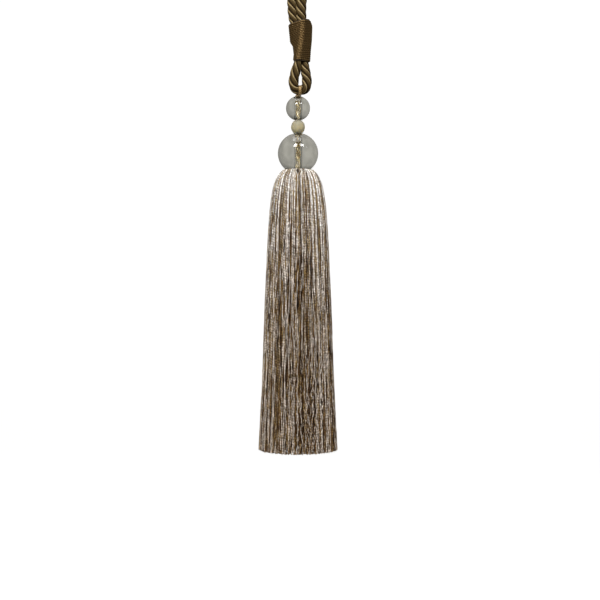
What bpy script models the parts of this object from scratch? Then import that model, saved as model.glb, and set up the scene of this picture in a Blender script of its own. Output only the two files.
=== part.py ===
"""Curtain tieback: a rope loop bound by a yarn collar, with a tassel hung from the rope's eye.

Metres, +Z up.  The origin is the point where the rope loop's crown bears on what it hangs from.
Everything hangs below it, the loop and its eye lie in the XZ plane, and the front faces -Y.
Tables are in millimetres and are brought to metres by MM.
"""
import math
import random

import bmesh
import bpy
import numpy as np
from mathutils.geometry import delaunay_2d_cdt

MM = 0.001
FIT = 0.3                      # gap between pieces that touch
CURVE_SAMPLES = 40             # fine samples for each row of a route
SHARP_ANGLE = 50.0             # edges above this many degrees are shaded sharp

# Rope: four strands, laid left-handed
ROPE_STRANDS = 4
ROPE_LAY = 25.2                # length of one full turn of a strand
ROPE_STEP = 2.0                # length between two rings of points
STRAND_OFFSET = 0.44           # strand's centre from the rope's axis, in rope radii
POINTS_PER_STRAND = 4

# Route of the rope's axis, from one end to the other: x, y, z, diameter
LEFT_LEG = [
    (-2.5, 1.10, -64.0, 5.2),
    (-2.8, 0.90, -58.0, 5.2),
    (-2.9, 0.60, -53.5, 5.2),
    (-3.1, 0.50, -51.0, 5.5),
    (-3.7, 0.30, -48.5, 6.4),
    (-4.4, 0.10, -44.5, 6.9),
    (-4.8, 0.00, -40.0, 7.0),
    (-5.2, 0.00, -34.0, 7.0),
    (-6.0, 0.00, -25.5, 7.0),
    (-7.1, 0.00, -16.0, 7.0),
    (-8.0, 0.00, -8.0, 7.0),
]
CROWN = [
    (-7.8, 0.00, -2.6, 7.0),
    (-6.0, 0.00, 0.9, 7.0),
    (-3.2, 0.00, 2.9, 7.0),
    (0.0, 0.00, 3.5, 7.0),
    (3.2, 0.00, 2.9, 7.0),
    (6.0, 0.00, 0.9, 7.0),
    (7.8, 0.00, -2.6, 7.0),
]
FRONT_LEG = [
    (7.7, -0.10, -8.0, 7.0),
    (6.3, -0.20, -16.0, 7.0),
    (4.4, -0.40, -25.5, 7.0),
    (3.3, -0.70, -34.0, 7.0),
    (3.0, -0.90, -40.0, 7.0),
    (3.0, -1.10, -44.5, 6.9),
    (3.1, -1.30, -48.0, 6.5),
    (3.1, -1.50, -50.8, 5.7),
    (2.9, -1.70, -56.0, 5.4),
    (2.3, -1.80, -64.0, 5.3),
    (1.0, -1.75, -73.5, 5.2),
    (0.3, -1.40, -80.5, 5.0),
]
EYE = [
    (-1.2, -1.00, -84.0, 5.7),
    (-2.5, -0.60, -87.5, 6.3),
    (-3.3, -0.20, -92.0, 6.7),
    (-3.4, 0.00, -96.5, 6.6),
    (-2.1, 0.00, -101.0, 6.0),
    (1.45, 0.00, -103.1, 5.0),
    (5.0, 0.00, -101.0, 6.0),
    (6.3, 0.00, -96.5, 6.6),
    (6.3, 0.40, -92.0, 6.7),
    (6.1, 0.80, -87.5, 6.3),
    (5.7, 1.10, -84.0, 5.7),
]
BACK_LEG = [
    (5.1, 1.40, -80.5, 5.0),
    (5.6, 1.80, -73.5, 5.1),
    (6.3, 2.50, -64.0, 5.2),
    (6.7, 2.90, -58.0, 5.2),
    (6.8, 3.00, -54.5, 5.2),
]

# Collar: yarn wound round the runs of rope
COLLAR_TOP = -50.5
COLLAR_BOTTOM = -81.0
COLLAR_CLEARANCE = 0.60        # from the rope's outer circle to the sleeve's inside
COLLAR_WALL = 0.8
COLLAR_SIDES = 24
COLLAR_WRAPS = 17
COLLAR_INNER_RINGS = 10
WRAP_RELIEF = 0.16             # each wrap stands this far above or below the mean wall
TOP_TILT = 0.14                # rise of the top edge towards +X
WRAP_TILT = 0.34               # rise of the wraps at mid-height towards +X
END_FADE = 4.5                 # height over which the sleeve closes past a rope's end
END_MARGIN = 0.6               # from a rope's end to where the sleeve starts to close
HULL_FACINGS = 180             # directions tried when the sleeve is stretched round its runs
TILT_PASSES = 3                # repeats that settle a tilted ring's heights
BACK_FADE = 0.55               # how far the back run's lobe draws in at the top

# Hanging cord, doubled: front run from the knot up to the crown over the eye: x, y, z
CORD_DIAMETER = 2.2
CORD_SIDES = 8
CORD_STEP = 2.6
CORD_FRONT_RUN = [
    (0.0, -0.80, -176.4),
    (0.0, -1.30, -172.0),
    (0.0, -1.30, -160.0),
    (0.0, -1.30, -147.0),
    (0.0, -1.30, -134.6),
    (0.0, -1.30, -122.0),
    (0.0, -1.30, -111.5),
    (0.05, -1.30, -109.0),
    (0.2, -1.55, -107.2),
    (0.5, -2.75, -105.8),
    (0.9, -3.85, -104.4),
    (1.15, -4.10, -102.9),
    (1.3, -3.60, -101.0),
    (1.4, -2.15, -99.5),
]
CORD_CROWN = (1.45, 0.0, -98.9)
KNOT_RADIUS = 3.9
KNOT_HALF_HEIGHT = 2.8

# Balls and bead, threaded on the cord
BORE_RADIUS = 2.7
MOUTH_RADIUS = 3.3             # the bore flares to this at each end
STACK_TOP = -107.3             # top of the small ball
SMALL_BALL_RADIUS = 9.1
BEAD_RADIUS = 5.25
BEAD_HALF_HEIGHT = 4.95
LARGE_BALL_RADIUS = 15.2
BALL_FACETS = {                # rows from mouth to mouth, sides round the bore
    "small_glass_ball": (12, 24),
    "cream_bead": (6, 20),
    "large_glass_ball": (14, 28),
}

# Tassel: the head's outer profile, from the dish's rim to the roots of the locks: radius, z
HEAD_SHOULDER = [
    (11.1, -160.9),
    (13.1, -162.5),
    (15.0, -164.6),
    (16.8, -167.4),
    (18.2, -170.6),
    (19.2, -174.0),
]
HEAD_SIDES = 40
DISH_RIM_RADIUS = 10.2
DISH_ROWS = 4

# Outline of the skirt below the head: z, radius
SKIRT_OUTLINE = [
    (-174.0, 19.2),
    (-186.0, 21.2),
    (-212.0, 23.1),
    (-290.0, 26.4),
    (-371.5, 30.0),
]
# Rings of locks: count, depth of the ring under the outline at the root and at the cut edge
LOCK_RINGS = [
    (72, 0.9, 1.1),
    (60, 3.1, 4.0),
    (48, 5.3, 7.4),
    (36, 8.0, 11.4),
    (24, 10.8, 16.2),
]
LOCK_RADIUS_AT_ROOT = 0.62
LOCK_RADIUS_AT_CUT = 1.08
LOCK_SWAY = 0.16               # sideways stray of a lock, as a share of the ring's pitch
LOCK_SEED = 11

# Finishes: colour, roughness, metallic
ROPE_FINISH = ((0.105, 0.074, 0.032), 0.45, 0.0)
COLLAR_FINISH = ((0.088, 0.058, 0.026), 0.50, 0.0)
CORD_FINISH = ((0.36, 0.25, 0.10), 0.40, 0.0)
GLASS_FINISH = ((0.42, 0.41, 0.36), 0.05, 0.0)
BEAD_FINISH = ((0.47, 0.42, 0.28), 0.30, 0.0)
SKIRT_FINISH = ((0.28, 0.23, 0.17), 0.55, 0.0)


def clear_scene():
    for thing in list(bpy.data.objects):
        bpy.data.objects.remove(thing, do_unlink=True)


def make_material(name, finish):
    colour, roughness, metallic = finish
    material = bpy.data.materials.new(name)
    material.use_nodes = True
    shader = material.node_tree.nodes["Principled BSDF"]
    shader.inputs["Base Color"].default_value = (*colour, 1.0)
    shader.inputs["Roughness"].default_value = roughness
    shader.inputs["Metallic"].default_value = metallic
    return material


def make_object(name, vertices, faces, finish):
    """A shaded object from vertices in millimetres and faces, with its faces turned outwards."""
    shape = bmesh.new()
    points = [shape.verts.new([value * MM for value in vertex]) for vertex in vertices]
    for face in faces:
        shape.faces.new([points[index] for index in face])
    bmesh.ops.recalc_face_normals(shape, faces=shape.faces)
    mesh = bpy.data.meshes.new(name)
    shape.to_mesh(mesh)
    shape.free()
    mesh.shade_smooth()
    mesh.set_sharp_from_angle(angle=math.radians(SHARP_ANGLE))
    made = bpy.data.objects.new(name, mesh)
    made.data.materials.append(make_material(name, finish))
    bpy.context.collection.objects.link(made)
    return made


def smooth_rows(rows, step):
    """Rows at equal steps along a natural cubic curve through the given rows of x, y, z, ..."""
    rows = np.array(rows, dtype=float)
    chords = np.linalg.norm(np.diff(rows[:, :3], axis=0), axis=1)
    knots = np.concatenate([[0.0], np.cumsum(chords)])
    count = len(knots)
    system = np.eye(count)
    target = np.zeros_like(rows)
    for i in range(1, count - 1):
        before, after = chords[i - 1], chords[i]
        system[i, i - 1:i + 2] = (before, 2 * (before + after), after)
        target[i] = 6 * ((rows[i + 1] - rows[i]) / after - (rows[i] - rows[i - 1]) / before)
    bends = np.linalg.solve(system, target)
    at = np.linspace(0.0, knots[-1], CURVE_SAMPLES * count)
    span = np.clip(np.searchsorted(knots, at, side="right") - 1, 0, count - 2)
    width = chords[span][:, None]
    ahead = (at[:, None] - knots[span][:, None]) / width
    behind = 1.0 - ahead
    curve = behind * rows[span] + ahead * rows[span + 1]
    bend = (behind ** 3 - behind) * bends[span] + (ahead ** 3 - ahead) * bends[span + 1]
    curve += bend * width ** 2 / 6
    pieces = np.linalg.norm(np.diff(curve[:, :3], axis=0), axis=1)
    travelled = np.concatenate([[0.0], np.cumsum(pieces)])
    even = np.linspace(0.0, travelled[-1], int(round(travelled[-1] / step)) + 1)
    return np.stack([np.interp(even, travelled, column) for column in curve.T], axis=1), even


def frames_along(points, reference):
    """Unit tangent, normal and side at each point, with the normal nearest to the reference axis."""
    tangents = np.gradient(points, axis=0)
    tangents /= np.linalg.norm(tangents, axis=1)[:, None]
    normals = reference - tangents * (tangents @ reference)[:, None]
    normals /= np.linalg.norm(normals, axis=1)[:, None]
    return tangents, normals, np.cross(tangents, normals)


def tube(rings):
    """Vertices and faces of a capped tube through rings of equal numbers of points."""
    sides = len(rings[0])
    vertices = [point for ring in rings for point in ring]
    faces = []
    for row in range(len(rings) - 1):
        for side in range(sides):
            after = (side + 1) % sides
            low, high = row * sides, (row + 1) * sides
            faces.append((low + side, low + after, high + after, high + side))
    faces.append(tuple(reversed(range(sides))))
    faces.append(tuple(range(len(vertices) - sides, len(vertices))))
    return vertices, faces


def strand_radius(angle):
    """Share of the rope's radius at an angle from a strand's crest, for strands as round lobes."""
    half_share = math.pi / ROPE_STRANDS
    off = (angle + half_share) % (2 * half_share) - half_share
    lobe = 1.0 - STRAND_OFFSET
    return STRAND_OFFSET * math.cos(off) + math.sqrt(lobe ** 2 - (STRAND_OFFSET * math.sin(off)) ** 2)


def make_rope():
    route, travelled = smooth_rows(LEFT_LEG + CROWN + FRONT_LEG + EYE + BACK_LEG, ROPE_STEP)
    centres = route[:, :3]
    tangents, normals, sides = frames_along(centres, np.array([0.0, 1.0, 0.0]))
    count = ROPE_STRANDS * POINTS_PER_STRAND
    rings = []
    for row, centre in enumerate(centres):
        turn = -2 * math.pi * travelled[row] / ROPE_LAY
        ring = []
        for index in range(count):
            angle = 2 * math.pi * index / count
            reach = strand_radius(angle) * route[row, 3] / 2
            along = normals[row] * math.cos(angle + turn) + sides[row] * math.sin(angle + turn)
            ring.append(centre + along * reach)
        rings.append(ring)
    return make_object("rope_loop", *tube(rings), ROPE_FINISH)


def run_at(rows, z):
    """Centre and radius of a run of rope at a height, read from its rows of the route."""
    rows = sorted(rows, key=lambda row: row[2])
    heights = [row[2] for row in rows]
    x, y, diameter = (np.interp(z, heights, [row[column] for row in rows]) for column in (0, 1, 3))
    return np.array([x, y, diameter / 2])


def collar_circles(z):
    """The three circles that the sleeve is stretched round at a height: x, y, radius."""
    front = run_at(FRONT_LEG, z)
    left_end = LEFT_LEG[0][2]
    left_gone = np.clip((left_end - END_MARGIN - z) / END_FADE, 0.0, 1.0)
    left = run_at(LEFT_LEG, max(z, left_end))
    left = left + (front - left) * left_gone
    back_end = BACK_LEG[-1][2]
    back_gone = np.clip((z - back_end - END_MARGIN) / END_FADE, 0.0, 1.0) * BACK_FADE
    back = run_at(BACK_LEG, min(z, back_end))
    back = back + (front - back) * back_gone
    return left, front, back


def hull_point(circles, offset, angle, middle):
    """The point where a ray from the middle leaves the hull of the circles grown by the offset."""
    ray = np.array([math.cos(angle), math.sin(angle)])
    reach = math.inf
    for facing in np.linspace(0.0, 2 * math.pi, HULL_FACINGS, endpoint=False):
        normal = np.array([math.cos(facing), math.sin(facing)])
        ahead = normal @ ray
        if ahead > 0.0:
            support = max((circle[:2] - middle) @ normal + circle[2] + offset for circle in circles)
            reach = min(reach, support / ahead)
    return middle + ray * reach


def collar_ring(share, offset):
    """One ring of the sleeve, share 0 at its top and 1 at its bottom, tilted as the wraps are."""
    level = COLLAR_TOP + (COLLAR_BOTTOM - COLLAR_TOP) * share
    ends = TOP_TILT * (1.0 - share)
    tilt = ends + (WRAP_TILT - ends) * math.sin(math.pi * share) ** 1.5
    ring = []
    middle = (collar_circles(level)[1] + collar_circles(level)[2])[:2] / 2
    for side in range(COLLAR_SIDES):
        angle = 2 * math.pi * side / COLLAR_SIDES
        z = level
        for _ in range(TILT_PASSES):
            point = hull_point(collar_circles(z), offset, angle, middle)
            z = level + tilt * (point[0] - middle[0])
        ring.append((point[0], point[1], z))
    return ring


def make_collar():
    """A sleeve: outer rings crest and groove by turns, inner rings back up, joined at both ends."""
    outside = []
    rings = 2 * COLLAR_WRAPS
    for ring in range(rings + 1):
        relief = WRAP_RELIEF if ring % 2 else -WRAP_RELIEF
        outside.append(collar_ring(ring / rings, COLLAR_CLEARANCE + COLLAR_WALL + relief))
    inside = []
    for ring in range(COLLAR_INNER_RINGS, -1, -1):
        inside.append(collar_ring(ring / COLLAR_INNER_RINGS, COLLAR_CLEARANCE))
    loops = outside + inside
    vertices = [point for loop in loops for point in loop]
    faces = []
    for row in range(len(loops)):
        after_row = (row + 1) % len(loops)
        for side in range(COLLAR_SIDES):
            after = (side + 1) % COLLAR_SIDES
            here, there = row * COLLAR_SIDES, after_row * COLLAR_SIDES
            faces.append((here + side, here + after, there + after, there + side))
    return make_object("collar", vertices, faces, COLLAR_FINISH)


def make_knot(head_underside):
    """The knot under the tassel's head, seated on the lower mouth of the head's bore."""
    seat = KNOT_HALF_HEIGHT * math.sqrt(1.0 - (BORE_RADIUS / KNOT_RADIUS) ** 2)
    middle = head_underside - FIT - seat
    shape = bmesh.new()
    bmesh.ops.create_uvsphere(shape, u_segments=16, v_segments=8, radius=1.0)
    vertices = [(v.co.x * KNOT_RADIUS, v.co.y * KNOT_RADIUS, middle + v.co.z * KNOT_HALF_HEIGHT)
                for v in shape.verts]
    faces = [[v.index for v in face.verts] for face in shape.faces]
    shape.free()
    return make_object("knot", vertices, faces, CORD_FINISH)


def make_hanging_cord(head_underside):
    back_run = [(x, -y, z) for x, y, z in reversed(CORD_FRONT_RUN)]
    route, _ = smooth_rows(CORD_FRONT_RUN + [CORD_CROWN] + back_run, CORD_STEP)
    _, normals, sides = frames_along(route, np.array([1.0, 0.0, 0.0]))
    rings = []
    for row, centre in enumerate(route):
        ring = []
        for index in range(CORD_SIDES):
            angle = 2 * math.pi * index / CORD_SIDES
            along = normals[row] * math.cos(angle) + sides[row] * math.sin(angle)
            ring.append(centre + along * CORD_DIAMETER / 2)
        rings.append(ring)
    cord = make_object("hanging_cord", *tube(rings), CORD_FINISH)
    knot = make_knot(head_underside)
    joined = cord.modifiers.new("knot", "BOOLEAN")
    joined.operation = "UNION"
    joined.object = knot
    joined.solver = "EXACT"
    knot.hide_render = True
    knot.display_type = "WIRE"
    return cord


def spin_profile(name, profile, sides, finish):
    """A solid of revolution round Z from a closed profile of radius, z that clears the axis."""
    shape = bmesh.new()
    points = [shape.verts.new((radius * MM, 0.0, z * MM)) for radius, z in profile]
    edges = [shape.edges.new((points[i - 1], points[i])) for i in range(len(points))]
    bmesh.ops.spin(shape, geom=points + edges, cent=(0, 0, 0), axis=(0, 0, 1),
                   angle=2 * math.pi, steps=sides, use_merge=True)
    bmesh.ops.recalc_face_normals(shape, faces=shape.faces)
    mesh = bpy.data.meshes.new(name)
    shape.to_mesh(mesh)
    shape.free()
    mesh.shade_smooth()
    mesh.set_sharp_from_angle(angle=math.radians(SHARP_ANGLE))
    made = bpy.data.objects.new(name, mesh)
    made.data.materials.append(make_material(name, finish))
    bpy.context.collection.objects.link(made)
    return made


def drilled_ball(name, middle, radius, half_height, finish):
    """A ball cut off flat at its drilled ends, with flared mouths."""
    rows, sides = BALL_FACETS[name]
    arc = half_height / math.sqrt(1.0 - (MOUTH_RADIUS / radius) ** 2)
    mouth_angle = math.asin(MOUTH_RADIUS / radius)
    profile = []
    for row in range(rows + 1):
        angle = mouth_angle + (math.pi - 2 * mouth_angle) * row / rows
        profile.append((radius * math.sin(angle), middle + arc * math.cos(angle)))
    flare = MOUTH_RADIUS - BORE_RADIUS
    profile.append((BORE_RADIUS, middle - half_height + flare))
    profile.append((BORE_RADIUS, middle + half_height - flare))
    return spin_profile(name, profile, sides, finish)


def half_height_of(radius):
    """Half the height of a round ball whose drilled ends open to the mouth's radius."""
    return math.sqrt(radius ** 2 - MOUTH_RADIUS ** 2)


def make_stack():
    """The small ball, the bead and the large ball, top to bottom; gives the large ball's centre."""
    small_half = half_height_of(SMALL_BALL_RADIUS)
    small_middle = STACK_TOP - small_half
    drilled_ball("small_glass_ball", small_middle, SMALL_BALL_RADIUS, small_half, GLASS_FINISH)
    bead_middle = small_middle - small_half - FIT - BEAD_HALF_HEIGHT
    drilled_ball("cream_bead", bead_middle, BEAD_RADIUS, BEAD_HALF_HEIGHT, BEAD_FINISH)
    large_half = half_height_of(LARGE_BALL_RADIUS)
    large_middle = bead_middle - BEAD_HALF_HEIGHT - FIT - large_half
    drilled_ball("large_glass_ball", large_middle, LARGE_BALL_RADIUS, large_half, GLASS_FINISH)
    return large_middle


def head_profile(ball_middle):
    """Radius, z rows from the bore's lower mouth, up the bore, over the dish and down the shoulder."""
    seat = LARGE_BALL_RADIUS + FIT
    underside = HEAD_SHOULDER[-1][1]
    rows = [(BORE_RADIUS, underside)]
    for row in range(DISH_ROWS + 1):
        radius = BORE_RADIUS + (DISH_RIM_RADIUS - BORE_RADIUS) * row / DISH_ROWS
        rows.append((radius, ball_middle - math.sqrt(seat ** 2 - radius ** 2)))
    return rows + HEAD_SHOULDER


def lock_rings(stray):
    """For each lock, its rings of three points from root to cut edge."""
    heights = [row[0] for row in SKIRT_OUTLINE]
    top, bottom = heights[0], heights[-1]
    locks = []
    for count, root_depth, cut_depth in LOCK_RINGS:
        pitch = 2 * math.pi / count
        start = stray.uniform(0.0, pitch)
        for number in range(count):
            rings = []
            for z, outline in SKIRT_OUTLINE:
                share = (z - top) / (bottom - top)
                radius = outline - (root_depth + (cut_depth - root_depth) * share)
                sway = 0.0 if z == top else stray.uniform(-LOCK_SWAY, LOCK_SWAY)
                angle = start + pitch * (number + sway)
                size = LOCK_RADIUS_AT_ROOT + (LOCK_RADIUS_AT_CUT - LOCK_RADIUS_AT_ROOT) * math.sqrt(share)
                ring = []
                for corner in range(3):
                    facing = angle + 2 * math.pi * corner / 3
                    ring.append((radius * math.cos(angle) + size * math.cos(facing),
                                 radius * math.sin(angle) + size * math.sin(facing), z))
                rings.append(ring)
            locks.append(rings)
    return locks


def make_skirt(ball_middle):
    """The head as a turned shell of rows, closed below by a flat face that the locks grow out of."""
    profile = head_profile(ball_middle)
    vertices = []
    for radius, z in profile:
        for side in range(HEAD_SIDES):
            angle = 2 * math.pi * side / HEAD_SIDES
            vertices.append((radius * math.cos(angle), radius * math.sin(angle), z))
    faces = []
    for row in range(len(profile) - 1):
        for side in range(HEAD_SIDES):
            after = (side + 1) % HEAD_SIDES
            here, there = row * HEAD_SIDES, (row + 1) * HEAD_SIDES
            faces.append((here + side, here + after, there + after, there + side))
    bore = list(range(HEAD_SIDES))
    rim = list(range((len(profile) - 1) * HEAD_SIDES, len(profile) * HEAD_SIDES))
    loops = [bore, rim]
    for rings in lock_rings(random.Random(LOCK_SEED)):
        first = len(vertices)
        vertices.extend(point for ring in rings for point in ring)
        loops.append([first, first + 1, first + 2])
        for row in range(len(rings) - 1):
            here, there = first + 3 * row, first + 3 * (row + 1)
            for corner in range(3):
                after = (corner + 1) % 3
                faces.append((here + corner, here + after, there + after, there + corner))
        tip = first + 3 * (len(rings) - 1)
        faces.append((tip, tip + 1, tip + 2))
    faces.extend(underside_faces(vertices, loops))
    return make_object("tassel_skirt", vertices, faces, SKIRT_FINISH)


def underside_faces(vertices, loops):
    """Triangles between the rim and the loops of the bore and the roots, all at one height."""
    order = [index for loop in loops for index in loop]
    loop_of = {}
    edges = []
    for number, loop in enumerate(loops):
        for i, index in enumerate(loop):
            loop_of[index] = number
            edges.append((order.index(index), order.index(loop[(i + 1) % len(loop)])))
    flat = [vertices[index][:2] for index in order]
    _, _, found, origin, _, _ = delaunay_2d_cdt(flat, edges, [], 0, 1e-7)
    rim = 1
    triangles = []
    for face in found:
        corners = [order[origin[vertex][0]] for vertex in face]
        owners = {loop_of[corner] for corner in corners}
        if len(owners) > 1 or owners == {rim}:
            triangles.append(corners)
    return triangles


def main():
    clear_scene()
    make_rope()
    make_collar()
    ball_middle = make_stack()
    make_skirt(ball_middle)
    make_hanging_cord(HEAD_SHOULDER[-1][1])


main()
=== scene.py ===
"""Looks of the curtain tieback: rope, yarn collar, glass balls on a gold cord, and a long tassel.

Metres, +Z up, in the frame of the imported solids.  Named sizes and tables are in millimetres unless
their comment says otherwise, and MM brings them to metres.  Angles are in radians.
"""
import math

import bpy
import numpy as np
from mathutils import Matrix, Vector

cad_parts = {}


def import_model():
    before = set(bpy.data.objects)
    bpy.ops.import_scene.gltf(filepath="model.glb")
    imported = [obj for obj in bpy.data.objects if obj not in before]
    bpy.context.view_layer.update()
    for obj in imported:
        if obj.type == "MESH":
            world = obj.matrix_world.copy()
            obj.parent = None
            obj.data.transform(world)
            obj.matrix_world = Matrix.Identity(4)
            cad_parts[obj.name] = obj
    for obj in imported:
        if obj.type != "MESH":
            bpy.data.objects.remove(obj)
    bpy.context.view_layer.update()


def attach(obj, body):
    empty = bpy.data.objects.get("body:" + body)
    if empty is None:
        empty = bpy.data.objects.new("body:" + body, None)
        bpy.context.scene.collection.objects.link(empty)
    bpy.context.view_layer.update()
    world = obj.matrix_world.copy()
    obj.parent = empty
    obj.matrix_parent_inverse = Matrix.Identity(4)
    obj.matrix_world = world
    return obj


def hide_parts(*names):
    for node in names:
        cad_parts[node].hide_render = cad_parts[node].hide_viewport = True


MM = 0.001
TURN = 2 * math.pi
SAMPLES_PER_ROW = 60           # points by which a curve's length is measured, for each given row

# The photograph's frame: 600 pixels square, with the tassel's axis at AXIS_COLUMN
FRAME_PIXELS = 600
MM_PER_PIXEL = 0.75
AXIS_COLUMN = 298.0
HANGING_ROW = -46.0            # the row, above the frame's top, at which the loop hangs
CAMERA_DISTANCE = 773.0
SENSOR_WIDTH = 36.0

# Rope: four strands, laid left-handed at the solid's pitch
ROPE_STRANDS = 4
ROPE_LAY = 25.2                # length of one full turn of a strand
ROPE_STEP = 0.6
STRAND_SIDES = 32
STRAND_OFFSET = 0.39           # strand's centre from the rope's axis, in rope radii
STRAND_LIP = 0.05              # how far each strand bulges beside its upper groove
STRAND_LIP_FACING = 0.84       # angle from the strand's outer side to that bulge and to its painted highlight
STRAND_LIP_WIDTH = 0.17
STRAND_SHADE_FACING = 0.25     # angle at which painted shade starts on the strand's lower side
STRAND_SHADE_WIDTH = 0.75
FULL_LIP_CLIMB = 0.5           # climb in a unit of length from which lip, painted highlight and painted shade are full
STRAND_YARNS = 9               # yarns that ridge each strand's surface
YARN_LAY = 14.0
YARN_RELIEF = 0.02
# Where the lay runs ahead of its even pitch: distance along the rope, share of a turn
LAY_SHIFT = [(0.0, 0.093), (50.0, 0.093), (85.0, 0.099), (152.0, 0.099), (184.0, 0.334), (240.0, 0.334)]

# Route of the rope's axis: x, y, z, diameter
LEFT_LEG = [
    (-2.5, 1.10, -64.0, 4.6),
    (-2.8, 0.90, -58.0, 5.2),
    (-2.9, 0.60, -53.5, 5.9),
    (-3.0, 0.50, -51.0, 6.8),
    (-3.4, 0.40, -48.5, 7.4),
    (-3.9, 0.30, -44.5, 7.7),
    (-4.2, 0.30, -40.0, 7.8),
    (-4.5, 0.30, -34.0, 7.7),
    (-5.6, 0.10, -25.5, 7.3),
    (-7.1, 0.00, -16.0, 7.0),
    (-8.0, 0.00, -8.0, 7.0),
]
CROWN = [
    (-7.8, 0.00, -2.6, 7.0),
    (-6.0, 0.00, 0.9, 7.0),
    (-3.2, 0.00, 2.9, 7.0),
    (0.0, 0.00, 3.5, 7.0),
    (3.2, 0.00, 2.9, 7.0),
    (6.0, 0.00, 0.9, 7.0),
    (7.8, 0.00, -2.6, 7.0),
]
FRONT_LEG = [
    (7.7, -0.10, -8.0, 7.0),
    (6.3, -0.20, -16.0, 7.0),
    (4.3, -0.60, -25.5, 7.4),
    (2.8, -1.00, -34.0, 8.0),
    (2.3, -1.20, -40.0, 8.2),
    (2.3, -1.30, -44.5, 8.1),
    (2.5, -1.40, -48.0, 7.8),
    (2.8, -1.50, -50.8, 7.0),
    (2.9, -1.60, -53.5, 6.0),
    (2.9, -1.70, -56.0, 5.4),
    (2.3, -1.80, -64.0, 5.3),
    (1.0, -1.75, -73.5, 5.2),
    (0.3, -1.40, -80.5, 5.4),
]
EYE = [
    (-0.7, -1.10, -84.0, 6.9),
    (-1.6, -0.80, -87.5, 7.5),
    (-2.8, -0.30, -92.0, 7.8),
    (-3.3, 0.00, -96.5, 7.8),
    (-2.3, 0.00, -100.6, 7.4),
    (1.45, 0.00, -102.6, 6.6),
    (5.1, 0.00, -101.0, 7.7),
    (6.6, 0.00, -96.5, 7.7),
    (6.3, 0.40, -92.0, 7.6),
    (5.6, 0.90, -87.5, 7.3),
    (5.2, 1.20, -84.0, 6.9),
]
BACK_LEG = [
    (5.1, 1.40, -80.5, 5.4),
    (5.7, 1.80, -73.5, 5.1),
    (6.5, 2.50, -64.0, 5.2),
    (6.7, 2.90, -58.0, 5.2),
    (6.8, 3.00, -54.5, 5.2),
]

# Collar: one yarn wound round the runs of rope, over a plain sleeve
COLLAR_TOP = -50.0
COLLAR_BOTTOM = -81.0
COLLAR_WRAPS = 24
COLLAR_START = 0.6             # angle at which the winding starts
WRAP_SQUEEZE = 0.02            # what each wrap's pitch is short of an even share of the height
STEPS_PER_WRAP = 90
COLLAR_YARN_OFFSET = 0.90      # from the rope's outer circles to the yarn's axis
COLLAR_YARN_RADIUS = 0.60
COLLAR_YARN_FLATTENING = 1.18  # the yarn's width over its height
COLLAR_YARN_LAY = 3.8
COLLAR_YARN_SIDES = 12
COLLAR_YARN_TAPER = 1.2        # length in which the yarn's two ends grow to full thickness
COLLAR_PLY_RELIEF = 0.07
COLLAR_STEP = 0.42
TOP_TILT = 0.25                # fall of the first wraps from right to left, as a slope
WRAP_TILT = 0.40               # the same half way down
# Where the sleeve closes past a rope's end: distance to the start, height that it takes, share
LEFT_END_CLOSING = (0.5, 9.5, 1.0)
BACK_END_CLOSING = (0.6, 5.5, 0.55)
HULL_FACINGS = 180
SLEEVE_OUTSIDE = 0.85          # from the rope's outer circles to the sleeve's outer surface
SLEEVE_INSIDE = 0.45
SLEEVE_MARGIN = 0.01           # share of the collar's height that the sleeve leaves at each end
SLEEVE_SIDES = 64
SLEEVE_ROWS = 60

# Gold cord: doubled over the rope's eye, its two runs twisted round each other below it
CORD_DIAMETER = 2.2
CORD_SIDES = 18
CORD_STEP = 0.25
CORD_STRANDS = 3               # strands that ridge each run
CORD_STRAND_LAY = 3.6
CORD_CORE = 0.80               # reach of the grooves between the strands, in cord radii
CORD_RIDGE = 0.22              # what the strands add to it
CORD_PAIR_OFFSET = 0.95        # each run's centre from the pair's axis, in cord radii
CORD_PAIR_LAY = 11.0           # height in which the two runs go once round each other
CORD_PAIR_STEP = 1.0
CORD_JOIN = -106.6             # where the runs meet and begin to twist
CORD_END = -176.2
# Each run from the eye to the join: x, what its own side adds to x, y toward that side, z
CORD_LOOP = [
    (1.45, 0.0, 0.0, -99.6),
    (1.50, 0.0, 2.2, -100.1),
    (1.55, 0.0, 3.6, -101.4),
    (1.50, -0.1, 4.0, -103.2),
    (1.10, -0.5, 3.2, -104.8),
    (0.30, -1.0, 1.4, -106.2),
]
# Heights between which the cord is darkened by painted shade, where it lies in a hole's mouth: top,
# bottom
CORD_SHADE = [(-96.0, -100.6), (-106.4, -111.6), (-132.0, -140.4), (-163.0, -180.0)]
CORD_SHADE_FADE = 1.2
BRONZE_CORD_FROM = -109.0      # height above which the cord turns from gold to bronze
BRONZE_CORD_FADE = 4.0
KNOT_RADIUS = 3.9
KNOT_HALF_HEIGHT = 2.8
KNOT_HEIGHT = -176.3
KNOT_WRAPS = 6
KNOT_RIDGE = 0.04
KNOT_POLE = 0.05               # angle by which the knot's outline stays off the axis
KNOT_ROWS = 20
KNOT_SIDES = 32

# Balls and bead
BORE_RADIUS = 2.35
MOUTH_RADIUS = 2.55
SMALL_BALL_RADIUS = 9.1
SMALL_BALL_HEIGHT = -115.78
BEAD_RADIUS = 5.25
BEAD_HALF_HEIGHT = 4.88
BEAD_HEIGHT = -129.85
LARGE_BALL_RADIUS = 15.2
LARGE_BALL_HEIGHT = -149.60
BALL_SIDES = 128
BALL_ROWS = 72
FLARE_ROWS = 6

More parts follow.
